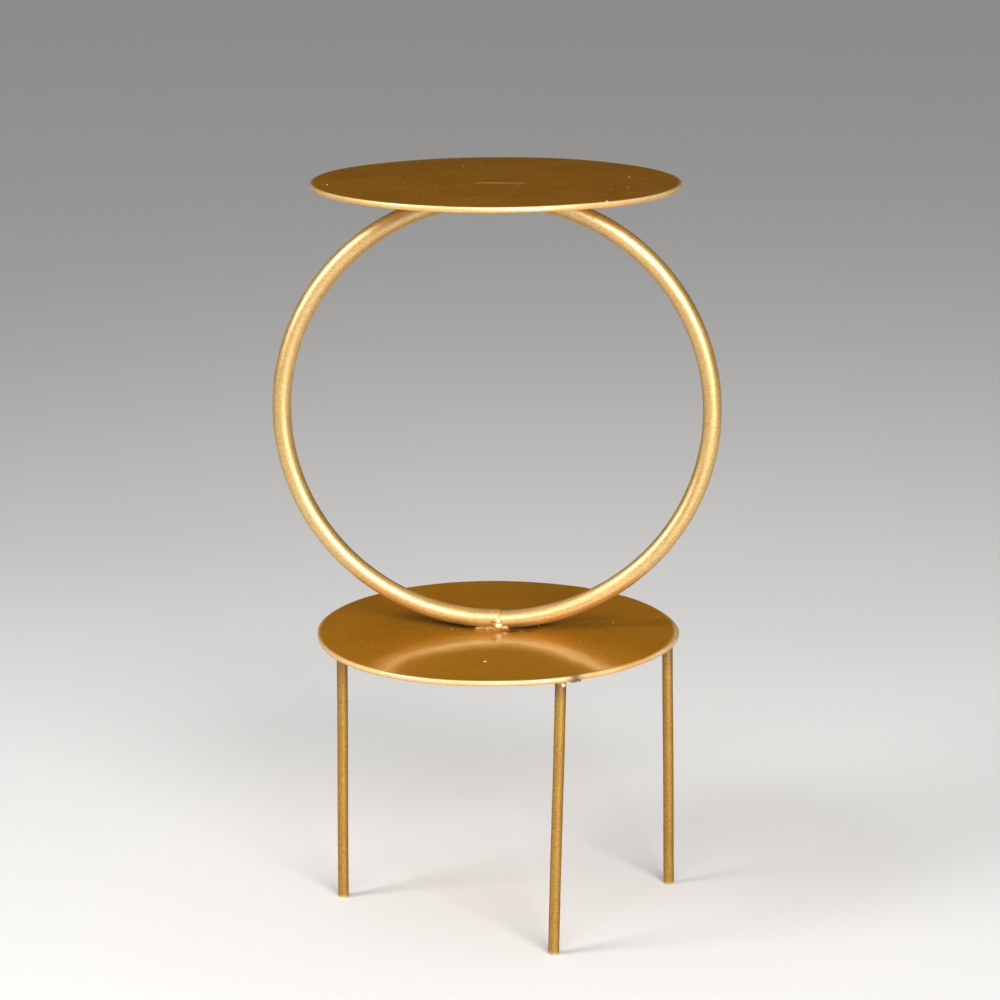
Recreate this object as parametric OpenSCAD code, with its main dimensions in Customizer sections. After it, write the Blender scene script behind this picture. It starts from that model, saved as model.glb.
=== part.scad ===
// Two-tier cake stand, welded from two round sheet plates, one bar ring and three rod legs.
// Frame: millimetres, +Z up, Z = 0 on the floor, Z axis through the middle of the ring.
// The ring stands in the XZ plane, and the front of the stand faces -Y.

/* [Plates] */
// Diameter of both round plates
plate_d = 200; // [180:1:300]
// Thickness of the plate sheet
plate_t = 3; // [2:0.5:5]
// Radius of the rounded edge of each plate
plate_edge_r = 0.8; // [0.2:0.1:0.9]

/* [Ring] */
// Outer diameter of the ring
ring_d = 246.5; // [220:0.5:320]
// Diameter of the round bar that the ring is bent from
bar_d = 10.25; // [8:0.25:14]
// Gap between the ring and the lower plate, filled by the weld
base_gap = 0.4; // [0.3:0.1:0.8]
// Gap between the ring and the upper plate, filled by the weld
top_gap = 0.6; // [0.3:0.1:0.8]
// Width of the butt joint that closes the ring
seam_w = 1.6; // [1:0.1:3]
// Where the butt joint lies, in degrees from the bottom of the ring towards +X
seam_angle = 0.5; // [-3:0.5:3]

/* [Legs] */
// Diameter of the leg rod
leg_d = 6; // [5:0.5:8]
// Height of the lower plate's underside above the floor
leg_h = 155; // [100:1:220]
// Directions of the leg tops from the stand's axis, in degrees: left, front, right
leg_top_angles = [186.9, 293.5, 7.8]; // [0:0.1:360]
// Distances of the leg tops from the stand's axis: left, front, right
leg_top_radii = [86.4, 96.6, 96]; // [70:0.1:97]
// Directions of the feet from the stand's axis, in degrees: left, front, right
leg_foot_angles = [184.9, 292.1, 12.8]; // [0:0.1:360]
// Distances of the feet from the stand's axis: left, front, right
leg_foot_radii = [87.6, 93.3, 100.2]; // [70:0.1:110]

/* [Welds] */
// Straight length of the weld between the ring and each plate
weld_run = 8; // [6:1:20]
// Where the middle of the lower weld lies, along X
weld_shift = -2.6; // [-6:0.1:6]
// Height of the weld between the ring and each plate
weld_h = 2.6; // [1.5:0.1:3]
// How far the weld around a leg stands out from the rod
leg_weld_w = 1.6; // [0.8:0.1:3]
// Height of the weld around a leg
leg_weld_h = 2.2; // [1:0.1:4]

/* [Hidden] */

GOLD_PLATE = "#9B6416";
GOLD_BAR = "#D29646";
GOLD_WELD = "#B57A2A";

LEFT = 0;
FRONT = 1;
RIGHT = 2;

round_fn = 96;
plate_r = plate_d / 2;
bar_r = bar_d / 2;
leg_r = leg_d / 2;
ring_bend_r = ring_d / 2 - bar_r;

base_z = leg_h;
base_top_z = base_z + plate_t;
ring_z = base_top_z + base_gap + ring_d / 2;
top_z = ring_z + ring_d / 2 + top_gap;

// Turn that the butt joint takes of the ring, and the little that its weld stands proud
seam_turn = seam_w / ring_bend_r * 180 / PI;
seam_proud = 0.25;

// Half widths of a plate weld at the plate and at the ring
weld_toe = bar_r + 0.6;
weld_shoulder = bar_r - 0.7;
// How far out the weld around a leg may reach, to where the plate's edge starts to round
weld_limit_r = plate_r - plate_edge_r;

function polar(radius, angle, z) = [radius * cos(angle), radius * sin(angle), z];
function leg_top(i) = polar(leg_top_radii[i], leg_top_angles[i], leg_h);
function leg_foot(i) = polar(leg_foot_radii[i], leg_foot_angles[i], 0);

// A round sheet plate with a rounded edge, its underside at Z = 0
module plate() {
    rotate_extrude($fn = round_fn * 2) {
        square([plate_r - plate_edge_r, plate_t]);
        translate([0, plate_edge_r])
            square([plate_r, plate_t - 2 * plate_edge_r]);
        for (z = [plate_edge_r, plate_t - plate_edge_r])
            translate([plate_r - plate_edge_r, z])
                circle(r = plate_edge_r, $fn = round_fn / 2);
    }
}

// A stretch of bar bent to the ring's radius, in the XZ plane, around the origin.
// It starts at the angle "start" from +X and runs anticlockwise seen from the front.
module bent_bar(radius, start, turn) {
    rotate([90, 0, 0])
        rotate([0, 0, start])
            rotate_extrude(angle = turn, $fn = round_fn * 2)
                translate([ring_bend_r, 0])
                    circle(r = radius, $fn = round_fn);
}

// The low mound that fills the wedges on both sides of the ring, standing on Z = 0
module weld_mound(height) {
    translate([-weld_run / 2, 0, 0])
        rotate([90, 0, 90])
            linear_extrude(weld_run)
                polygon([[-weld_toe, 0], [weld_toe, 0], [weld_shoulder, height], [-weld_shoulder, height]]);
    for (x = [-weld_run / 2, weld_run / 2])
        translate([x, 0, 0])
            cylinder(h = height, r1 = weld_toe, r2 = weld_shoulder, $fn = round_fn);
}

// A straight rod between two points, cut off flat at both points' heights
module rod(foot, top, radius) {
    run = top - foot;
    length = norm(run);
    lean = acos(run.z / length);
    heading = atan2(run.y, run.x);
    spare = radius;
    block = [4 * leg_r, 4 * leg_r, 2 * spare];
    difference() {
        translate(foot)
            rotate([0, lean, heading])
                rotate([0, 0, -heading])
                    translate([0, 0, -spare])
                        cylinder(h = length + 2 * spare, r = radius, $fn = round_fn);
        translate([foot.x - block.x / 2, foot.y - block.y / 2, foot.z - block.z])
            cube(block);
        translate([top.x - block.x / 2, top.y - block.y / 2, top.z])
            cube(block);
    }
}

module top_plate() {
    color(GOLD_PLATE)
        translate([0, 0, top_z])
            plate();
}

module base_plate() {
    color(GOLD_PLATE)
        translate([0, 0, base_z])
            plate();
}

module ring() {
    color(GOLD_BAR)
        translate([0, 0, ring_z])
            bent_bar(bar_r, 270 + seam_angle + seam_turn / 2, 360 - seam_turn);
}

module ring_seam_weld() {
    color(GOLD_WELD)
        translate([0, 0, ring_z])
            bent_bar(bar_r + seam_proud, 270 + seam_angle - seam_turn / 2, seam_turn);
}

module base_weld() {
    color(GOLD_WELD)
        difference() {
            translate([weld_shift, 0, base_top_z])
                weld_mound(weld_h + base_gap);
            translate([0, 0, ring_z]) {
                bent_bar(bar_r, 0, 360);
                bent_bar(bar_r + seam_proud, 270 + seam_angle - seam_turn / 2, seam_turn);
            }
        }
}

module top_weld() {
    color(GOLD_WELD)
        difference() {
            translate([0, 0, top_z])
                mirror([0, 0, 1])
                    weld_mound(weld_h + top_gap);
            translate([0, 0, ring_z])
                bent_bar(bar_r, 0, 360);
        }
}

module leg(i) {
    color(GOLD_BAR)
        rod(leg_foot(i), leg_top(i), leg_r);
}

// The collar of weld around a leg's top, kept inside the edge of the plate
module leg_weld(i) {
    top = leg_top(i);
    color(GOLD_WELD)
        difference() {
            intersection() {
                translate([top.x, top.y, leg_h - leg_weld_h])
                    cylinder(h = leg_weld_h, r1 = leg_r + 0.1, r2 = leg_r + leg_weld_w, $fn = round_fn);
                translate([0, 0, leg_h - leg_weld_h])
                    cylinder(h = leg_weld_h, r = weld_limit_r, $fn = round_fn * 2);
            }
            rod(leg_foot(i), top + (top - leg_foot(i)) / 20, leg_r);
        }
}

module leg_left() { leg(LEFT); }
module leg_front() { leg(FRONT); }
module leg_right() { leg(RIGHT); }
module leg_left_weld() { leg_weld(LEFT); }
module leg_front_weld() { leg_weld(FRONT); }
module leg_right_weld() { leg_weld(RIGHT); }

top_plate();
base_plate();
ring();
ring_seam_weld();
top_weld();
base_weld();
leg_left();
leg_front();
leg_right();
leg_left_weld();
leg_front_weld();
leg_right_weld();
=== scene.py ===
"""The looks of the welded two-tier cake stand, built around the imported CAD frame. Units are metres."""

import math

import bpy
import numpy as np
from mathutils import Matrix, Vector


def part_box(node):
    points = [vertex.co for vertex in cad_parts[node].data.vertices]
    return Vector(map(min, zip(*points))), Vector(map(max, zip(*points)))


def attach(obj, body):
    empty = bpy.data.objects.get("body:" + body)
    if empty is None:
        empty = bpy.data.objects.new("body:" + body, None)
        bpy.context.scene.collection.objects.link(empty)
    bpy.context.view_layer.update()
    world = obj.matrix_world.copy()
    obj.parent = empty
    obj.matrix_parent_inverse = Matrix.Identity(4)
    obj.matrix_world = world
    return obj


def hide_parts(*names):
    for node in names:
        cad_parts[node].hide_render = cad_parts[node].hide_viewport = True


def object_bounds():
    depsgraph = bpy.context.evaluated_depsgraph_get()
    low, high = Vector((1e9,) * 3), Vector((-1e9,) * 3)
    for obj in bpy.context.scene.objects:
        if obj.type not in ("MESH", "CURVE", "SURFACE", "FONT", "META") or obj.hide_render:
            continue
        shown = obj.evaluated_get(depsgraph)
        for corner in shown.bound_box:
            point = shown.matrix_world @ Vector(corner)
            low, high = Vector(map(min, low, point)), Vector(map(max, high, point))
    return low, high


MM = 0.001

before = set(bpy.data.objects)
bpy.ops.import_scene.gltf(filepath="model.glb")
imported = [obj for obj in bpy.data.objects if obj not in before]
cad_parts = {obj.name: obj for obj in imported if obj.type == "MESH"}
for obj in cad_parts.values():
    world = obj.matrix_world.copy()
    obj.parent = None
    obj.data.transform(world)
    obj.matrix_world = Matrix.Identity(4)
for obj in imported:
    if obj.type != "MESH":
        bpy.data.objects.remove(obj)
cad_low, cad_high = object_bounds()


# ---------------------------------------------------------------- camera

# Metres and radians, and the lens in millimetres
CAMERA_DISTANCE = 1.5994
CAMERA_AZIMUTH = 0.0518
CAMERA_OFFSET = 0.00178
CAMERA_ABOVE_LOWER_TIER = 0.4662
CAMERA_PITCH = 0.2407
CAMERA_YAW = 0.0001
CAMERA_ROLL = 0.0017
CAMERA_LENS = 107.4
CAMERA_SENSOR = 36
CAMERA_CLIP = (0.05, 60)


def make_camera(lower_tier_z):
    """A long lens in front of the stand, a little to its right, looking slightly down."""
    turn = Matrix.Rotation(CAMERA_AZIMUTH, 3, "Z")
    forward = Vector((math.sin(CAMERA_YAW) * math.cos(CAMERA_PITCH),
                      math.cos(CAMERA_YAW) * math.cos(CAMERA_PITCH),
                      -math.sin(CAMERA_PITCH)))
    right = Vector((math.cos(CAMERA_YAW), -math.sin(CAMERA_YAW), 0))
    down = forward.cross(right)
    rolled_right = right * math.cos(CAMERA_ROLL) + down * math.sin(CAMERA_ROLL)
    rolled_up = right * math.sin(CAMERA_ROLL) - down * math.cos(CAMERA_ROLL)
    data = bpy.data.cameras.new("camera")
    data.sensor_width = CAMERA_SENSOR
    data.lens = CAMERA_LENS
    data.clip_start, data.clip_end = CAMERA_CLIP
    camera = bpy.data.objects.new("camera", data)
    bpy.context.scene.collection.objects.link(camera)
    place = turn @ Vector((CAMERA_OFFSET, -CAMERA_DISTANCE, 0))
    place.z = lower_tier_z + CAMERA_ABOVE_LOWER_TIER
    axes = Matrix((turn @ rolled_right, turn @ rolled_up, turn @ -forward)).transposed()
    camera.matrix_world = Matrix.Translation(place) @ axes.to_4x4()
    bpy.context.scene.camera = camera


# ---------------------------------------------------------------- helpers

class Waves:
    """A smooth, seeded field of random waves: about 1 high, with wavelengths around the given length."""

    def __init__(self, seed, length, count=24):
        random = np.random.default_rng(seed)
        directions = random.normal(size=(count, 3))
        directions /= np.linalg.norm(directions, axis=1)[:, None]
        lengths = length * random.uniform(0.6, 1.7, count)
        self.waves = directions * (2 * np.pi / lengths)[:, None]
        self.phases = random.uniform(0, 2 * np.pi, count)
        self.scale = np.sqrt(2 / count)

    def __call__(self, points):
        angles = np.asarray(points) @ self.waves.T + self.phases
        return np.sin(angles).sum(axis=-1) * self.scale


def smooth_step(x, low, high):
    t = np.clip((x - low) / (high - low), 0, 1)
    return t * t * (3 - 2 * t)


def mesh_object(name, points, faces, attributes=None, sharp_degrees=None, lie=None):
    """A mesh object from points and faces, smooth shaded, with optional per-point float attributes.
    lie gives each point a place (along, around) on the piece's skin, in metres; around may wrap."""
    mesh = bpy.data.meshes.new(name)
    mesh.from_pydata([tuple(p) for p in np.asarray(points, float)], [], faces)
    for key, values in (attributes or {}).items():
        layer = mesh.attributes.new(key, "FLOAT", "POINT")
        layer.data.foreach_set("value", np.asarray(values, np.float32))
    if lie is not None:
        corners = np.zeros(len(mesh.loops), int)
        mesh.loops.foreach_get("vertex_index", corners)
        starts = np.zeros(len(mesh.polygons), int)
        mesh.polygons.foreach_get("loop_start", starts)
        skin = np.asarray(lie, float)[corners]
        turn = lie[:, 1].max() * 1.0001
        far = np.maximum.reduceat(skin[:, 1], starts)
        owner = np.repeat(np.arange(len(starts)), np.diff(np.append(starts, len(corners))))
        wraps = far[owner] - skin[:, 1] > turn / 2
        skin[wraps, 1] += turn
        mesh.uv_layers.new(name="lie").data.foreach_set("uv", skin.astype(np.float32).ravel())
    mesh.update()
    mesh.shade_smooth()
    if sharp_degrees is not None:
        mesh.set_sharp_from_angle(angle=math.radians(sharp_degrees))
    piece = bpy.data.objects.new(name, mesh)
    bpy.context.scene.collection.objects.link(piece)
    return piece


def grid_faces(rows, columns):
    """Quads between successive rows of points, each row a closed line."""
    faces = []
    for r in range(rows - 1):
        for c in range(columns):
            d = (c + 1) % columns
            faces.append((r * columns + c, r * columns + d, (r + 1) * columns + d, (r + 1) * columns + c))
    return faces


def capped_tube(rows_of_points):
    """Points and faces of a closed tube: each row is a ring of points, and each end closes on its middle."""
    rows, columns = rows_of_points.shape[:2]
    points = rows_of_points.reshape(-1, 3)
    first_middle = rows_of_points[0].mean(axis=0)
    last_middle = rows_of_points[-1].mean(axis=0)
    points = np.vstack([points, first_middle, last_middle])
    faces = grid_faces(rows, columns)
    start, end = rows * columns, rows * columns + 1
    base = (rows - 1) * columns
    for c in range(columns):
        d = (c + 1) % columns
        faces.append((start, d, c))
        faces.append((end, base + c, base + d))
    return points, faces


def skin_places(along, around):
    """The (along, around) place of every point of a capped tube, in metres."""
    rows = np.dstack(np.broadcast_arrays(np.asarray(along)[:, None], np.asarray(around)[None, :]))
    ends = [(along[0], around.mean()), (along[-1], around.mean())]
    return np.vstack([rows.reshape(-1, 2), ends])


def closed_band(rows_of_points):
    """Points and faces of a band that closes on itself both ways."""
    rows, columns = rows_of_points.shape[:2]
    faces = grid_faces(rows, columns)
    last = (rows - 1) * columns
    for c in range(columns):
        d = (c + 1) % columns
        faces.append((last + c, last + d, d, c))
    return rows_of_points.reshape(-1, 3), faces


def outward(points, faces):
    """The faces of a closed surface, turned to point out of it."""
    corners = np.array([face if len(face) == 4 else (*face, face[-1]) for face in faces])
    a, b, c, d = (points - points.mean(axis=0))[corners.T]
    six_volumes = (a * (np.cross(b, c) + np.cross(c, d))).sum()
    return faces if six_volumes > 0 else [face[::-1] for face in faces]


def shell(points, faces, wear_and_highlight=0.0, soot_and_shade=0.0):
    """A closed surface with its wear and soot, each one number or one number per point; the wear also paints
    highlights, and the soot shade.
    """
    ones = np.ones(len(points))
    return points, outward(points, faces), wear_and_highlight * ones, soot_and_shade * ones


def shells_object(name, shells):
    """One object made of several closed surfaces."""
    points, faces, wear_and_highlight, soot_and_shade = [], [], [], []
    start = 0
    for shell_points, shell_faces, shell_wear_and_highlight, shell_soot_and_shade in shells:
        points.append(shell_points)
        faces += [tuple(i + start for i in face) for face in shell_faces]
        wear_and_highlight.append(shell_wear_and_highlight)
        soot_and_shade.append(shell_soot_and_shade)
        start += len(shell_points)
    return mesh_object(name, np.vstack(points), faces,
                       {"wear_and_highlight": np.concatenate(wear_and_highlight), "soot_and_shade": np.concatenate(soot_and_shade)})


NIB_RINGS = 12
NIB_SIDES = 18
NIB_END_RING = 0.12        # how far a nib's end rings lie from its poles, in radians
NIB_LUMPS = 0.12           # how uneven it is, as a share of its size


def nib(middle, half_sizes, seed, wear_and_highlight=0.0, soot_and_shade=0.0):
    """A lumpy drop of metal or paint: a closed, flattened ball."""
    heights = np.linspace(NIB_END_RING, np.pi - NIB_END_RING, NIB_RINGS)[:, None]
    around = np.linspace(0, 2 * np.pi, NIB_SIDES, endpoint=False)[None, :]
    ball = np.dstack(np.broadcast_arrays(np.sin(heights) * np.cos(around), np.sin(heights) * np.sin(around),
                                         -np.cos(heights)))
    ball = ball * (1 + NIB_LUMPS * Waves(seed, 1.4, 12)(ball))[..., None]
    points, faces = capped_tube(ball)
    return shell(np.array(middle) + points * np.array(half_sizes), faces, wear_and_highlight, soot_and_shade)


def nibs_on(face, table):
    """Nibs on a level face. Each row has a place and half sizes in millimetres, a seed, wear (on some a
    painted highlight) and soot.
    """
    return [nib(np.array([0, 0, face]) + np.array(place) * MM, np.array(half_sizes) * MM, seed, wear_and_highlight, soot_and_shade)
            for place, half_sizes, seed, wear_and_highlight, soot_and_shade in table]


def node_box(node):
    low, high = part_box(node)
    return np.array(low), np.array(high)


def run_of(node):
    """The middle of a weld's CAD node along X, and half its length."""
    low, high = node_box(node)
    return (low[0] + high[0]) / 2, (high[0] - low[0]) / 2


def ring_shape():
    """The CAD ring's centre, its bar's radius, and the radius that the bar's middle line is bent to."""
    low, high = node_box("ring")
    bar = (high[1] - low[1]) / 2
    return (low + high) / 2, bar, (high[0] - low[0]) / 2 - bar


def rod_ends(node):
    """The middles of a CAD rod's lower and upper end faces."""
    points = np.array([v.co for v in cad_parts[node].data.vertices])
    ends = []
    for height in (points[:, 2].min(), points[:, 2].max()):
        rim = points[np.abs(points[:, 2] - height) < 0.01 * MM]
        ends.append((rim.min(axis=0) + rim.max(axis=0)) / 2)
    return ends


# ---------------------------------------------------------------- materials

GOLD_BAR = (0.61, 0.41, 0.11)
# The legs' gold is the same paint made darker: painted shade
SHADED_GOLD_ROD = (0.40, 0.21, 0.013)
GOLD_WELD = (0.48, 0.26, 0.045)
GOLD_SHEET = (0.58, 0.295, 0.009)
GOLD_PALE = (0.95, 0.72, 0.30)
# Pale rubbed paint, also a painted highlight on plate rims and drops; soot, also painted shade at the ring's
# foot and the legs' tops
RUBBED_AND_HIGHLIGHT = (1.0, 0.88, 0.64)
SOOT_AND_SHADE = (0.05, 0.04, 0.035)

# How close the marks of each process lie, per metre
CLOUDS = 25
UNEVEN_GLOSS = 70
FLAKES = 1150
ORANGE_PEEL = 800
BRUSH_LINES = (14, 420, 14)      # along x, y and z
DRAWN = (30, 2200)               # along a bar and around it, where it was drawn lengthwise
GROUND = (1100, 60)              # the same, where it was ground round
TOOL_MARKS = 0.6                 # how deep drawn and ground marks are beside the flakes
RELIEF = 0.00006                 # the height of the deepest marks, in metres

# The clear coat of each stock: its weight, index of refraction and roughness
SHEET_CLEAR = (1.0, 1.8, 0.12)
BAR_CLEAR = (0.38, 3.3, 0.34)
ROD_CLEAR = (0.12, 3.3, 0.34)
WELD_CLEAR = (0.10, 2.2, 0.50)
CLEAR_TINT = (0.9, 0.75, 0.5)


class Nodes:
    """A small hand for building a node tree from left to right."""

    def __init__(self, tree):
        self.tree = tree

    def add(self, kind, settings=None, **inputs):
        node = self.tree.nodes.new(kind)
        for key, value in (settings or {}).items():
            setattr(node, key, value)
        for key, value in inputs.items():
            self.set(node, key.replace("_", " "), value)
        return node

    def set(self, node, key, value):
        socket = node.inputs[key]
        if isinstance(value, bpy.types.NodeSocket):
            self.tree.links.new(value, socket)
        else:
            socket.default_value = value

    def link(self, source, node, key):
        self.tree.links.new(source, node.inputs[key])

    def noise(self, where, scale, detail=2.0, roughness=0.5):
        node = self.add("ShaderNodeTexNoise", Scale=scale, Detail=detail, Roughness=roughness)
        self.link(where, node, "Vector")
        return node.outputs["Fac"]

    def stretch(self, value, low, high, to_low=0.0, to_high=1.0):
        node = self.add("ShaderNodeMapRange", {"clamp": True})
        self.link(value, node, "Value")
        for key, number in zip(("From Min", "From Max", "To Min", "To Max"), (low, high, to_low, to_high)):
            node.inputs[key].default_value = number
        return node.outputs["Result"]

    def math(self, operation, a, b):
        node = self.add("ShaderNodeMath", {"operation": operation})
        for i, value in enumerate((a, b)):
            if isinstance(value, bpy.types.NodeSocket):
                self.tree.links.new(value, node.inputs[i])
            else:
                node.inputs[i].default_value = value
        return node.outputs[0]

    def mix(self, factor, a, b):
        node = self.add("ShaderNodeMix", {"data_type": "RGBA"})
        self.link(factor, node, "Factor")
        for key, value in ((6, a), (7, b)):
            if isinstance(value, bpy.types.NodeSocket):
                self.tree.links.new(value, node.inputs[key])
            else:
                node.inputs[key].default_value = (*value[:3], 1)
        return node.outputs[2]

    def attribute(self, name):
        return self.add("ShaderNodeAttribute", {"attribute_name": name}).outputs["Fac"]


def deeper(color, share):
    """The same gold where the coat is thicker: darker and redder."""
    return tuple(c * (1 - share * w) for c, w in zip(color, (0.5, 0.8, 1.0)))


def lighter(color):
    """The same gold where a flake catches the light."""
    return tuple(0.55 * c + 0.45 * p for c, p in zip(color, GOLD_PALE))


def gold_paint(name, gold, metal, roughness, clear, grain, brushed=0.0, lines=None, pull=0.0):
    """Satin metallic gold spray paint: flakes, cloudy coverage, fine orange peel, and wear and soot where the
    piece's attributes say, which on some pieces also paint highlights and shade. grain is the strength of the
    flakes, and brushed the depth of brush lines along X.
    lines is how close a bar's tool marks lie, and pull how far they pull the highlights across the bar."""
    material = bpy.data.materials.new(name)
    material.use_nodes = True
    tree = material.node_tree
    tree.nodes.clear()
    n = Nodes(tree)
    where = n.add("ShaderNodeTexCoord").outputs["Object"]

    clouds = n.stretch(n.noise(where, CLOUDS, 4), 0.35, 0.68)
    flakes = n.noise(where, FLAKES, 2)
    specks = n.stretch(flakes, 0.42, 0.66)
    if brushed:
        squeeze = n.add("ShaderNodeMapping", Scale=BRUSH_LINES)
        n.link(where, squeeze, "Vector")
        streaks = n.noise(squeeze.outputs["Vector"], 1, 3)
    color = n.mix(n.math("MULTIPLY", clouds, 0.6), gold, deeper(gold, 0.35))
    color = n.mix(n.math("MULTIPLY", specks, 0.6 * grain), color, lighter(gold))
    color = n.mix(n.stretch(flakes, 0.32, 0.5, 0.6 * grain, 0), color, deeper(gold, 0.6))
    # Pale where the wear says and dark where the soot says: real wear, soot and burns, with painted
    # highlights on rims and drops and painted shade by the ring's foot and on the legs' tops
    color = n.mix(n.math("MULTIPLY", n.attribute("wear_and_highlight"), 0.8), color, RUBBED_AND_HIGHLIGHT)
    color = n.mix(n.attribute("soot_and_shade"), color, SOOT_AND_SHADE)
    if brushed:
        color = n.mix(n.stretch(streaks, 0.5, 0.8, 0, 0.25), color, deeper(gold, 0.4))

    rough = n.stretch(n.noise(where, UNEVEN_GLOSS, 3), 0.3, 0.7, roughness - 0.04, roughness + 0.04)
    rough = n.math("ADD", rough, n.math("MULTIPLY", n.attribute("soot_and_shade"), 0.2))

    peel = n.noise(where, ORANGE_PEEL, 2)
    height = n.math("ADD", n.math("MULTIPLY", peel, 0.6), n.math("MULTIPLY", flakes, grain))
    if brushed:
        height = n.math("ADD", height, n.math("MULTIPLY", streaks, brushed))
    if lines:
        lie = n.add("ShaderNodeUVMap", {"uv_map": "lie"}).outputs["UV"]
        squeeze = n.add("ShaderNodeMapping", Scale=(*lines, 1))
        n.link(lie, squeeze, "Vector")
        marks = n.noise(squeeze.outputs["Vector"], 1, 2)
        height = n.math("ADD", height, n.math("MULTIPLY", marks, TOOL_MARKS))
    bump = n.add("ShaderNodeBump", Strength=0.5, Distance=RELIEF)
    n.link(height, bump, "Height")

    shader = n.add("ShaderNodeBsdfPrincipled", Metallic=metal)
    n.link(color, shader, "Base Color")
    n.link(rough, shader, "Roughness")
    n.link(bump.outputs["Normal"], shader, "Normal")
    coat_weight, coat_bend, coat_roughness = clear
    shader.inputs["Specular Tint"].default_value = (*(0.4 * c for c in gold), 1)
    shader.inputs["Specular IOR Level"].default_value = 0.2
    shader.inputs["Coat Weight"].default_value = coat_weight
    shader.inputs["Coat Roughness"].default_value = coat_roughness
    shader.inputs["Coat IOR"].default_value = coat_bend
    shader.inputs["Coat Tint"].default_value = (*CLEAR_TINT, 1)
    if pull:
        tangent = n.add("ShaderNodeTangent", {"direction_type": "UV_MAP", "uv_map": "lie"})
        n.link(tangent.outputs["Tangent"], shader, "Tangent")
        shader.inputs["Anisotropic"].default_value = pull
        shader.inputs["Anisotropic Rotation"].default_value = 0.25
    output = n.add("ShaderNodeOutputMaterial")
    n.link(shader.outputs["BSDF"], output, "Surface")
    return material


# ---------------------------------------------------------------- pieces

def dress(piece, material, slot, *nodes):
    """Gives a piece its paint, and lets it stand for its CAD nodes on the stand's one body. slot is not used.
    """
    piece.data.materials.append(material)
    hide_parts(*nodes)
    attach(piece, "root")


PLATE_SPOKES = 360
PLATE_RINGS = 72
EDGE_STEPS = 6
EDGE_ROUND = 0.8 * MM
CUT_WOBBLE = 0.12 * MM     # how unevenly the outline is cut
DENTS = 0.12               # the height of short waves beside the long warp
DUST_REACH = 95 * MM

# Nibs, as nibs_on reads them
UPPER_FACE_MARKS = (
    ((2, -9, 0), (14, 0.35, 0.06), 91, 0.8, 0),      # a thin raised line, pale as a painted highlight
    ((-89, -20, 0), (0.6, 0.5, 0.25), 92, 0.4, 0),
    ((61, -77, 0), (0.7, 0.7, 0.4), 93, 1, 0),
)
LOWER_FACE_MARKS = (
    ((-2.8, -64, 0), (0.8, 0.9, 0.35), 131, 1, 0),
    # Spatter beside the foot of the ring
    ((-25, -3.4, 0), (0.6, 0.6, 0.36), 146, 0, 0.2),
    ((-21.5, -4.6, 0), (0.35, 0.35, 0.21), 143, 0, 0.2),
    ((14.2, -5.6, 0), (0.4, 0.4, 0.24), 144, 0, 0.2),
    ((23.5, 4.6, 0), (0.5, 0.5, 0.3), 145, 0, 0.2),
)
# The burnt lump under the rim, beside the front leg
UNDER_RIM_LUMP = (((45.8, -87.4, 0), (3.4, 1.6, 0.9), 151, 0, 0.8),)


def spot(x, y, middle, half_sizes, turn=0.0):
    """1 in the middle of a soft oval spot, falling to 0 around it."""
    c, s = math.cos(math.radians(turn)), math.sin(math.radians(turn))
    u = (c * (x - middle[0]) + s * (y - middle[1])) / half_sizes[0]
    v = (c * (y - middle[1]) - s * (x - middle[0])) / half_sizes[1]
    return np.exp(-(u * u + v * v))


def turned(angles, towards):
    """Degrees from a direction, between -180 and 180."""
    return (np.degrees(angles) - towards + 180) % 360 - 180


def swell(angles, towards, spread):
    """1 in one direction, falling softly to 0 on both sides of it; spread is in degrees."""
    return np.exp(-(turned(angles, towards) / spread) ** 2)


def knocked_rim(angles):
    """How far the lower plate's rim stands out: out at its right, pressed in beside the front leg."""
    return MM * (1.8 * swell(angles, -4, 15) - 0.7 * swell(angles, -38, 12) - 0.5 * swell(angles, -58, 6))


def drooping_rim(angles):
    """How far the lower plate's rim hangs: low at its left front, a little high beside the front leg."""
    return MM * (0.8 * swell(angles, -132, 36) - 0.3 * swell(angles, -56, 9))


def even_rim(angles):
    """A rim left as it was cut."""
    return 0 * angles


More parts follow.
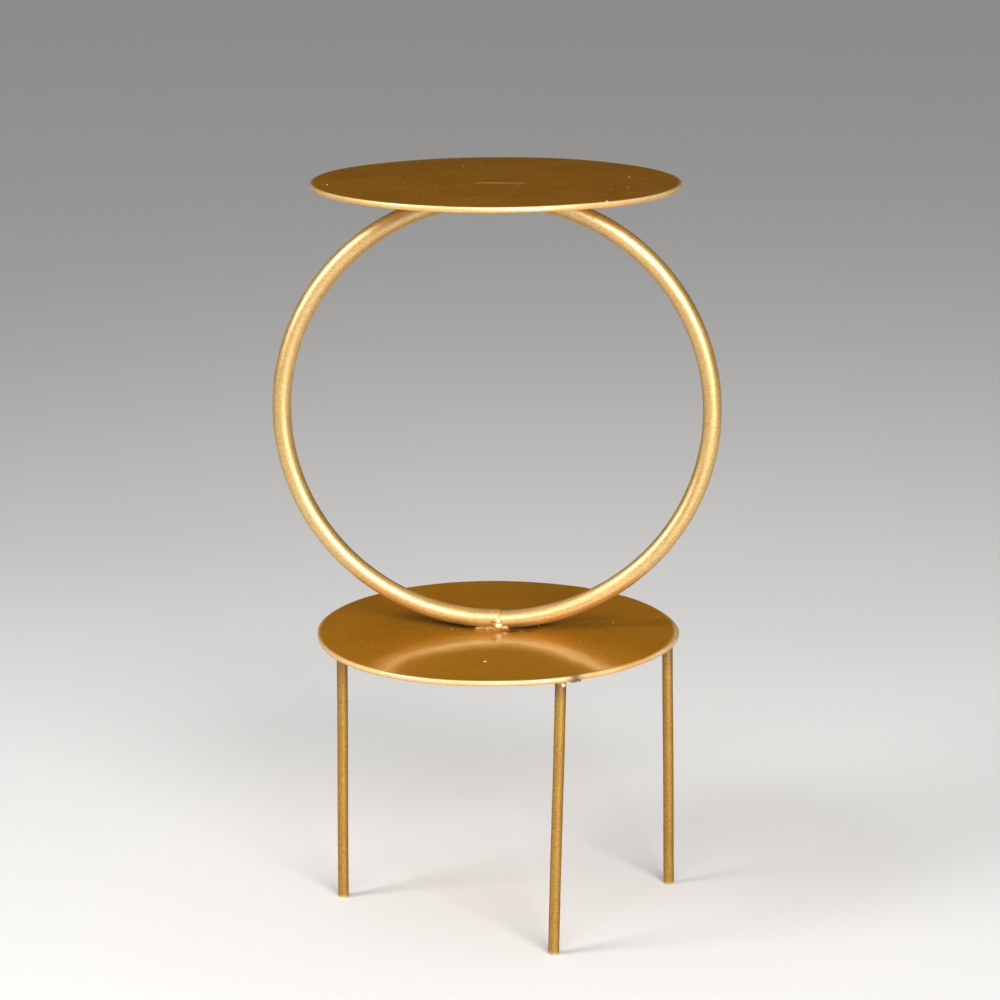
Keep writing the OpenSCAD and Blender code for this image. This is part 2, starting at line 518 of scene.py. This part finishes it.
def plate_shell(node, seed, sag, stand_out, droop, soot_and_shade_at):
    """A round sheet plate: cut a little unevenly, not quite flat, with a softly rounded edge. sag is how far
    it warps, and stand_out and droop give how far its rim stands out and hangs in each direction."""
    low, high = node_box(node)
    middle = (low + high) / 2
    radius = (high[0] - low[0]) / 2
    thick = high[2] - low[2]
    angles = np.linspace(0, 2 * np.pi, PLATE_SPOKES, endpoint=False)
    # The outline from the middle of the underside, round the edge, to the middle of the upper side
    inner = np.linspace(0, 1, PLATE_RINGS)[1:] ** 0.9 * (radius - EDGE_ROUND)
    bend = np.linspace(0, np.pi / 2, EDGE_STEPS + 1)[1:]
    lower = [(r, 0.0) for r in inner]
    lower += [(radius - EDGE_ROUND + EDGE_ROUND * math.sin(a), EDGE_ROUND - EDGE_ROUND * math.cos(a))
              for a in bend]
    upper = [(r, thick - z) for r, z in reversed(lower)]
    outline = np.array(lower + upper)
    r = outline[:, 0][:, None]
    z = outline[:, 1][:, None]
    flat = np.dstack(np.broadcast_arrays(r * np.cos(angles), r * np.sin(angles), 0 * r))
    rim = smooth_step(r, radius * 0.8, radius)
    wobble = np.abs(Waves(seed, 45 * MM, 16)(flat)) * CUT_WOBBLE
    r = r + (stand_out(angles)[None, :] - wobble) * rim
    x = middle[0] + r * np.cos(angles)
    y = middle[1] + r * np.sin(angles)
    warp = Waves(seed + 1, 90 * MM, 16)(flat) * sag
    warp = warp + Waves(seed + 2, 24 * MM, 24)(flat) * sag * DENTS
    height = low[2] + z + warp * smooth_step(r, 12 * MM, 60 * MM)
    height = height - droop(angles)[None, :] * smooth_step(r, 0.55 * radius, radius)
    points, faces = capped_tube(np.dstack([x, y, height]))
    # Pale round the rim: edge wear, made strongest on the rim's upper half as a painted highlight
    outer = smooth_step(r, radius - 1.7 * MM, radius - 0.2 * MM)
    wear_and_highlight = outer * (0.25 + 0.75 * smooth_step(z, 0.2 * thick, 0.6 * thick))
    soot_and_shade = soot_and_shade_at(x, y, z / thick)
    return shell(points, faces, np.append(wear_and_highlight.ravel(), [0, 0]), np.append(soot_and_shade.ravel(), [0, 0]))


def upper_soot(x, y, up):
    """The faint burn round the upper plate's weld; up is 0 on the underside and 1 on the upper side."""
    return spot(x, y, (0, 0), (12 * MM, 7 * MM)) * (0.4 - 0.3 * up)


def lower_soot_and_shade(x, y, up):
    """Dark marks on the lower plate: painted shade where the ring's foot meets it and in the gap beside the
    joint, and a painted shadow of the ring behind it, all faint through the sheet; and a burn of welding on
    the rim beside the front leg. up is 0 on the underside and 1 on the upper side."""
    # Painted shade along the ring's foot, on both sides of the joint
    foot = 0.8 * spot(x, y, (-25 * MM, 6 * MM), (17 * MM, 3.6 * MM), -27)
    foot += 0.8 * spot(x, y, (21 * MM, 4 * MM), (17 * MM, 3.2 * MM), 33)
    # Painted shadow of the ring on the plate behind it
    behind = 0.35 * spot(x, y, (-42 * MM, 20 * MM), (20 * MM, 7 * MM), -10)
    behind += 0.35 * spot(x, y, (52 * MM, 21 * MM), (17 * MM, 7 * MM), 10)
    # Painted shade in the gap under the bar, right of the joint
    beside = 0.75 * spot(x, y, (9.5 * MM, -6.2 * MM), (3.4 * MM, 2.2 * MM), 10)
    beside += 0.7 * spot(x, y, (18.5 * MM, -5.2 * MM), (3.6 * MM, 2.2 * MM), 20)
    rim = 0.9 * spot(x, y, (46.5 * MM, -88.5 * MM), (4.2 * MM, 1.9 * MM), 27)
    return np.clip((foot + behind + beside) * (0.12 + 0.88 * up) + rim, 0, 0.9)


def dust(seed, count, height):
    """Dust caught in the paint of a plate's upper face."""
    random = np.random.default_rng(seed)
    shells = []
    for i in range(count):
        r = DUST_REACH * math.sqrt(random.uniform(0.02, 1))
        a = random.uniform(0, 2 * math.pi)
        size = random.uniform(0.16, 0.34) * MM
        place = (r * math.cos(a), r * math.sin(a), height)
        shells.append(nib(place, (size * random.uniform(0.8, 1.6), size, size * 0.5), seed + i, wear_and_highlight=0.5))
    return shells


def upper_plate_piece(name):
    top = node_box("top_plate")[1][2]
    shells = [plate_shell("top_plate", 11, 0.10 * MM, even_rim, even_rim, upper_soot)]
    shells += dust(71, 24, top)
    shells += nibs_on(top, UPPER_FACE_MARKS)
    return shells_object(name, shells)


def lower_plate_piece(name):
    low, high = node_box("base_plate")
    top = high[2]
    shells = [plate_shell("base_plate", 21, 0.12 * MM, knocked_rim, drooping_rim, lower_soot_and_shade)]
    shells += dust(101, 26, top)
    shells += nibs_on(top, LOWER_FACE_MARKS)
    shells += nibs_on(low[2], UNDER_RIM_LUMP)
    return shells_object(name, shells)


RING_STEPS = 720
BAR_SIDES = 56
LEFT_END_RISE = 0.45 * MM  # the bar's two ends don't quite meet: the left one stands higher
RIGHT_END_DROP = 0.3 * MM
JOINT_GAP = 0.12           # the gap between them, as a share of the weld's length


def ring_piece(name):
    """The bent bar: one length whose two ends meet in the butt joint at the bottom."""
    centre, bar, bend = ring_shape()
    seam_x, seam_half = run_of("ring_seam_weld")
    seam = math.atan2(seam_x - centre[0], bend)
    half_gap = seam_half / bend * JOINT_GAP
    along = np.linspace(half_gap, 2 * np.pi - half_gap, RING_STEPS) + seam - np.pi / 2
    around = np.linspace(0, 2 * np.pi, BAR_SIDES, endpoint=False)
    a = along[:, None]
    b = around[None, :]
    past_joint = np.degrees(a - along[0])
    left_end = np.exp(-(360 - past_joint) / 7)
    right_end = np.exp(-past_joint / 9)
    bent = bend - LEFT_END_RISE * left_end + RIGHT_END_DROP * right_end
    middle_line = np.dstack(np.broadcast_arrays(bent * np.cos(a), 0 * b, bent * np.sin(a)))
    section = np.dstack(np.broadcast_arrays(bar * np.cos(b), bar * np.sin(b), 0 * a))
    skin = bar + Waves(31, 16 * MM, 20)(middle_line + 3 * section) * 0.015 * MM
    x = centre[0] + (bent + skin * np.cos(b)) * np.cos(a)
    y = centre[1] + skin * np.sin(b) + 0 * a
    z = centre[2] + (bent + skin * np.cos(b)) * np.sin(a)
    points, faces = capped_tube(np.dstack([x, y, z]))
    # Dark on the bar's underside beside the joint, facing the lower plate: welding soot together with painted
    # shade between bar and plate
    underneath = np.clip(np.cos(b + 0.35), 0, 1) ** 1.5
    beside_joint = np.exp(-((past_joint - 4.5) / 3.5) ** 2) + np.exp(-((past_joint - 349) / 5) ** 2)
    burn_and_shade = 0.6 * underneath * beside_joint
    burn_and_shade += 0.15 * np.exp(-(np.minimum(past_joint, 360 - past_joint) / 0.35) ** 2)
    # A small dark fleck on the front of the bar, left of the joint
    burn_and_shade += 0.9 * np.exp(-((past_joint - 340.6) / 0.22) ** 2 - ((b - 5.5) / 0.09) ** 2)
    soot_and_shade = np.append(np.clip(burn_and_shade, 0, 0.9).ravel(), [0.5, 0.5])
    return mesh_object(name, points, faces, {"wear_and_highlight": np.zeros(len(points)), "soot_and_shade": soot_and_shade},
                       sharp_degrees=50, lie=skin_places(along * float(np.median(bent)), around * bar))


LEG_STEPS = 120
LEG_SIDES = 40
ROD_RADIUS = 3.0 * MM
CUT_CHAMFER = 0.25 * MM
# Each leg's seed, how far out of square its foot is sawn, and how far the heat tint and painted shade reach
# below its weld
LEGS = {
    "left": (41, 0.02, 34 * MM),
    "front": (51, 0.03, 14 * MM),
    "right": (61, 0.12, 30 * MM),
}


def leg_piece(name, node, seed, saw_tilt, tint_and_shade_reach):
    """A cut length of rod: faintly bowed, sawn a little out of square, with a fine chamfer round the foot."""
    foot, top = rod_ends(node)
    axis = (top - foot) / np.linalg.norm(top - foot)
    side = np.cross([0, 1, 0], axis)
    side /= np.linalg.norm(side)
    other = np.cross(axis, side)
    t = np.linspace(0, 1, LEG_STEPS)[:, None]
    around = np.linspace(0, 2 * np.pi, LEG_SIDES, endpoint=False)[None, :]
    length = np.linalg.norm(top - foot)
    spine = foot + t * (top - foot)
    bow = Waves(seed, 130 * MM, 8)(spine)[:, None] * 0.15 * MM * np.sin(np.pi * t)
    from_foot = t * length
    section = np.broadcast_arrays(ROD_RADIUS * np.cos(around), ROD_RADIUS * np.sin(around), from_foot)
    skin = ROD_RADIUS + Waves(seed + 1, 9 * MM, 16)(np.dstack(section)) * 0.012 * MM
    skin = skin - CUT_CHAMFER * (1 - smooth_step(from_foot, 0, 0.5 * MM))
    offset = (skin * np.cos(around))[..., None] * side + (skin * np.sin(around))[..., None] * other
    rows = (spine + bow * side)[:, None, :] + offset
    # The rod's ends are level but for the saw's tilt: the foot's low side is on the floor
    across = offset[0] @ side
    rows[0, :, 2] = foot[2] + saw_tilt * (across - across.min())
    rows[-1, :, 2] = top[2]
    points, faces = capped_tube(rows)
    wear_and_highlight = np.append((1 - smooth_step(from_foot, 0, 2.0 * MM)) * np.ones_like(around), [1, 0])
    # Darker towards the top: heat tint by the weld, and on the side legs painted shade under the lower plate
    burn_and_shade = 0.45 * smooth_step(from_foot, length - tint_and_shade_reach, length - 2 * MM)
    soot_and_shade = np.append(burn_and_shade * np.ones_like(around), [0, 0])
    return mesh_object(name, points, faces, {"wear_and_highlight": wear_and_highlight, "soot_and_shade": soot_and_shade},
                       sharp_degrees=40, lie=skin_places(t[:, 0] * length, around[0] * ROD_RADIUS))


BEAD_STEPS = 90
BEAD_OVER = 32             # points across a bead's top, and back inside the plate
BEAD_BACK = 8
BEAD_PITCH = 2.3 * MM      # from one ripple to the next

# Nibs, as nibs_on reads them: the droplet that ran over the ring's joint, and its tail; their pale wear is a
# painted highlight
LOWER_WELD_DROPS = (
    ((1.4, -4.4, 2.7), (2.3, 1.4, 1.9), 205, 0.6, 0),
    ((4.0, -3.7, 1.6), (2.6, 1.1, 1.0), 206, 0.1, 0),
    ((-1.6, -4.6, 5.2), (2.2, 0.8, 0.8), 207, 0, 0.35),
    ((0.9, -5.3, 5.6), (1.4, 0.5, 1.9), 208, 0.5, 0),
)
UPPER_WELD_DROPS = (((-4.1, -4.7, -2.2), (1.3, 0.9, 1.2), 225, 0.5, 0),)


def plate_weld_shell(plate_face, up, middle_x, half_run, seed):
    """The weld between the ring and a plate's face: it fills the wedge under the bar, alike in front and
    behind. up is 1 on the lower plate and -1 under the upper one."""
    low, high = node_box("ring")
    bar = (high[1] - low[1]) / 2
    reach = (high[0] - low[0]) / 2
    gap = abs((low[2] if up > 0 else high[2]) - plate_face)
    lumps = Waves(seed, 3.2 * MM, 20)
    rows = np.zeros((BEAD_STEPS, BEAD_OVER + BEAD_BACK, 3))
    for i, t in enumerate(np.linspace(-1, 1, BEAD_STEPS)):
        x = middle_x + t * half_run
        fade = math.sqrt(max(0.0, 1 - abs(t) ** 3))
        pleat = abs(math.sin(math.pi * t * half_run / BEAD_PITCH))
        half_width = (1.8 + 2.0 * fade + 0.2 * pleat * fade) * MM
        # Across the top of the bead from the front toe to the back toe, then back inside the plate
        over = np.linspace(-1, 1, BEAD_OVER)
        y = half_width * np.sin(over * np.pi / 2)
        bar_rise = bar - np.sqrt(bar ** 2 - np.minimum(np.abs(y), bar * 0.9) ** 2)
        under_bar = gap + bar_rise + x * x / (2 * reach)
        toe = 1 - np.abs(over) ** 6
        crown = (0.5 + 1.2 * fade + 0.3 * pleat * fade) * MM
        top = np.minimum(under_bar + 0.35 * MM, crown) * toe
        back = np.linspace(1, -1, BEAD_BACK) * 0.9
        ys = np.concatenate([y, half_width * back])
        zs = np.concatenate([top, np.full(BEAD_BACK, -0.4 * MM)])
        rows[i] = np.column_stack([np.full(len(ys), x), ys, plate_face + up * zs])
    points, faces = capped_tube(rows)
    points = points + np.column_stack([lumps(points), lumps(points + 7), lumps(points + 13)]) * 0.05 * MM
    return points, faces


def base_weld_piece(name):
    """The lower plate's weld, with the droplet that ran over the joint of the ring."""
    face = node_box("base_plate")[1][2]
    points, faces = plate_weld_shell(face, 1, *run_of("base_weld"), 201)
    return shells_object(name, [shell(points, faces, 0.0, 0.35), *nibs_on(face, LOWER_WELD_DROPS)])


def top_weld_piece(name):
    """The upper plate's weld, under it, with one drop."""
    face = node_box("top_plate")[0][2]
    points, faces = plate_weld_shell(face, -1, *run_of("top_weld"), 221)
    return shells_object(name, [shell(points, faces, 0.2, 0.15), *nibs_on(face, UPPER_WELD_DROPS)])


JOINT_STEPS = 96


def seam_weld_piece(name):
    """The weld run round the bar where its two ends meet: thin above, heavier in front and below."""
    centre, bar, bend = ring_shape()
    seam = math.atan2(run_of("ring_seam_weld")[0] - centre[0], bend) - np.pi / 2
    around = np.linspace(0, 2 * np.pi, JOINT_STEPS, endpoint=False)[:, None]
    heavy = np.exp(-((((around + 0.9 + np.pi) % (2 * np.pi)) - np.pi) / 0.7) ** 2)
    # A section of the run: over its crown, then back inside the bar
    across = np.concatenate([np.linspace(-1, 1, 9), [0.8, 0.0, -0.8]])[None, :]
    crown = np.concatenate([1 - np.linspace(-1, 1, 9) ** 2, [0, 0, 0]])[None, :]
    sunk = np.concatenate([np.full(9, 0.03), np.full(3, 0.8)])[None, :] * MM
    half_width = (0.9 + 1.6 * heavy) * MM
    wander = (0.35 * np.sin(2 * around + 1) - 0.5 * heavy) * MM
    proud = (0.02 + 0.5 * heavy) * MM
    angle = seam + (wander + across * half_width) / bend
    skin = bar + crown * proud - sunk
    distance = bend + skin * np.cos(around)
    rows = np.dstack([centre[0] + distance * np.cos(angle), centre[1] + skin * np.sin(around),
                      centre[2] + distance * np.sin(angle)])
    lumps = Waves(231, 2.2 * MM, 16)
    uneven = np.dstack([lumps(rows), lumps(rows + 5), lumps(rows + 9)])
    rows = rows + uneven * (0.005 + 0.06 * heavy[..., None]) * MM
    points, faces = closed_band(rows)
    return shells_object(name, [shell(points, faces, 0.1, 0.0)])


COLLAR_STEPS = 14
COLLAR_SIDES = 48
# Each collar's seed, and the place and size of the drop that hangs on it, in millimetres from the leg's top
COLLARS = {
    "left": (241, (-2.6, -2.4, -1.0), 0.6),
    "front": (251, (1.5, -3.4, -1.1), 1.05),
    "right": (261, (-1.6, -3.1, -0.9), 0.7),
}


def leg_weld_piece(name, node, leg, seed, drop_place, drop_size):
    """The small uneven collar of weld round the top of a leg, and the drop that hangs on it."""
    leg_top = rod_ends(leg)[1]
    underside = node_box(node)[1][2]
    around = np.linspace(0, 2 * np.pi, COLLAR_SIDES, endpoint=False)
    depth = np.linspace(0, 1, COLLAR_STEPS)
    lumps = Waves(seed, 2.4 * MM, 16)
    uneven = 1 + 0.45 * np.sin(around + seed) + 0.2 * np.sin(3 * around + 2 * seed)
    rows = np.zeros((len(depth), len(around), 3))
    for i, d in enumerate(depth):
        reach = (2.8 + 0.75 * uneven * (1 - d) ** 1.6 + 0.25 * (1 - d)) * MM
        z = underside + (0.3 - 1.9 * d) * MM
        rows[i] = np.column_stack([leg_top[0] + reach * np.cos(around), leg_top[1] + reach * np.sin(around),
                                   np.full(len(around), z)])
    rows = rows + np.dstack([lumps(rows), lumps(rows + 5), 0 * rows[..., 0]]) * 0.08 * MM
    points, faces = capped_tube(rows)
    half_sizes = drop_size * np.array([1, 0.8, 0.9]) * MM
    drop = nib(leg_top + np.array(drop_place) * MM, half_sizes, seed + 3, wear_and_highlight=0.9)
    return shells_object(name, [shell(points, faces, 0.1, 0.3), drop])


# ---------------------------------------------------------------- studio

FLOOR_HALF = 30
FLOOR_COLOR = (0.65, 0.642, 0.627)
FLOOR_ROUGHNESS = 0.9
# Each soft box: degrees to the camera's right, degrees up, distance, width and height in metres, and watts
SOFT_BOXES = {
    "key": (22, 17, 2.2, 1.0, 1.3, 18),
    "side": (-66, 30, 1.8, 0.6, 1.2, 7),
    "front": (-8, 33, 2.6, 1.7, 1.0, 8),
}
SOFT_BOX_SPREAD = 90
ROOM_GLOW = 0.01
CEILING_GLOW = 0.9
CEILING_STARTS = 35        # degrees up from level, and where its glow is full
CEILING_FULL = 65


def soft_box(name, place, aim, width, height, power):
    data = bpy.data.lights.new(name, "AREA")
    data.shape = "RECTANGLE"
    data.size = width
    data.size_y = height
    data.energy = power
    data.spread = math.radians(SOFT_BOX_SPREAD)
    lamp = bpy.data.objects.new(name, data)
    bpy.context.scene.collection.objects.link(lamp)
    lamp.location = place
    lamp.rotation_euler = (Vector(aim) - Vector(place)).to_track_quat("-Z", "Y").to_euler()


def aside(azimuth, elevation, distance, middle):
    """A place seen from the stand's middle: azimuth is turned from the camera's side towards the right."""
    a = math.radians(azimuth) + CAMERA_AZIMUTH
    e = math.radians(elevation)
    direction = Vector((math.sin(a) * math.cos(e), -math.cos(a) * math.cos(e), math.sin(e)))
    return Vector(middle) + distance * direction


def make_studio(middle):
    """A pale floor, three soft boxes, and a room that is bright overhead."""
    half = FLOOR_HALF
    corners = [(-half, -half, 0), (half, -half, 0), (half, half, 0), (-half, half, 0)]
    floor = mesh_object("floor", corners, [(0, 1, 2, 3)])
    paper = bpy.data.materials.new("pale_floor")
    paper.use_nodes = True
    shader = paper.node_tree.nodes["Principled BSDF"]
    shader.inputs["Base Color"].default_value = (*FLOOR_COLOR, 1)
    shader.inputs["Roughness"].default_value = FLOOR_ROUGHNESS
    floor.data.materials.append(paper)
    for name, (azimuth, elevation, distance, width, height, power) in SOFT_BOXES.items():
        soft_box(name, aside(azimuth, elevation, distance, middle), middle, width, height, power)
    hang_ceiling()


def hang_ceiling():
    """A room that is dim all round and bright overhead."""
    world = bpy.data.worlds.new("room")
    bpy.context.scene.world = world
    world.use_nodes = True
    n = Nodes(world.node_tree)
    where = n.add("ShaderNodeTexCoord").outputs["Generated"]
    parts = n.add("ShaderNodeSeparateXYZ")
    n.link(where, parts, "Vector")
    starts = math.sin(math.radians(CEILING_STARTS))
    full = math.sin(math.radians(CEILING_FULL))
    glow = n.stretch(parts.outputs["Z"], starts, full, ROOM_GLOW, CEILING_GLOW)
    background = world.node_tree.nodes["Background"]
    n.link(glow, background, "Strength")
    background.inputs["Color"].default_value = (1, 1, 1, 1)
    bpy.context.scene.view_settings.view_transform = "Standard"


# ---------------------------------------------------------------- build

make_camera(node_box("base_plate")[1][2])
make_studio(tuple((Vector(cad_low) + Vector(cad_high)) / 2))

plate_paint = gold_paint("gold_paint_on_sheet", GOLD_SHEET, metal=0.40, roughness=0.38, clear=SHEET_CLEAR,
                         grain=0.6, brushed=0.3)
bar_paint = gold_paint("gold_paint_on_bar", GOLD_BAR, metal=0.84, roughness=0.48, clear=BAR_CLEAR,
                       grain=1.0, lines=DRAWN, pull=0.35)
# The legs' darker gold is painted shade
rod_paint = gold_paint("gold_paint_on_rod", SHADED_GOLD_ROD, metal=0.9, roughness=0.52, clear=ROD_CLEAR,
                       grain=0.6, lines=GROUND)
weld_paint = gold_paint("gold_paint_on_weld", GOLD_WELD, metal=0.6, roughness=0.62, clear=WELD_CLEAR,
                        grain=1.0)

dress(upper_plate_piece("upper_plate"), plate_paint, "painted_plate", "top_plate")
dress(lower_plate_piece("lower_plate"), plate_paint, "painted_plate", "base_plate")
dress(ring_piece("bent_ring"), bar_paint, "painted_bar", "ring")
for side, (seed, tilt, tint_and_shade_reach) in LEGS.items():
    dress(leg_piece(f"{side}_leg_rod", f"leg_{side}", seed, tilt, tint_and_shade_reach),
          rod_paint, "painted_bar", f"leg_{side}")
dress(base_weld_piece("lower_plate_weld"), weld_paint, "painted_weld", "base_weld")
dress(top_weld_piece("upper_plate_weld"), weld_paint, "painted_weld", "top_weld")
dress(seam_weld_piece("ring_joint_weld"), weld_paint, "painted_weld", "ring_seam_weld")
for side, collar in COLLARS.items():
    dress(leg_weld_piece(f"{side}_leg_weld_collar", f"leg_{side}_weld", f"leg_{side}", *collar),
          weld_paint, "painted_weld", f"leg_{side}_weld")
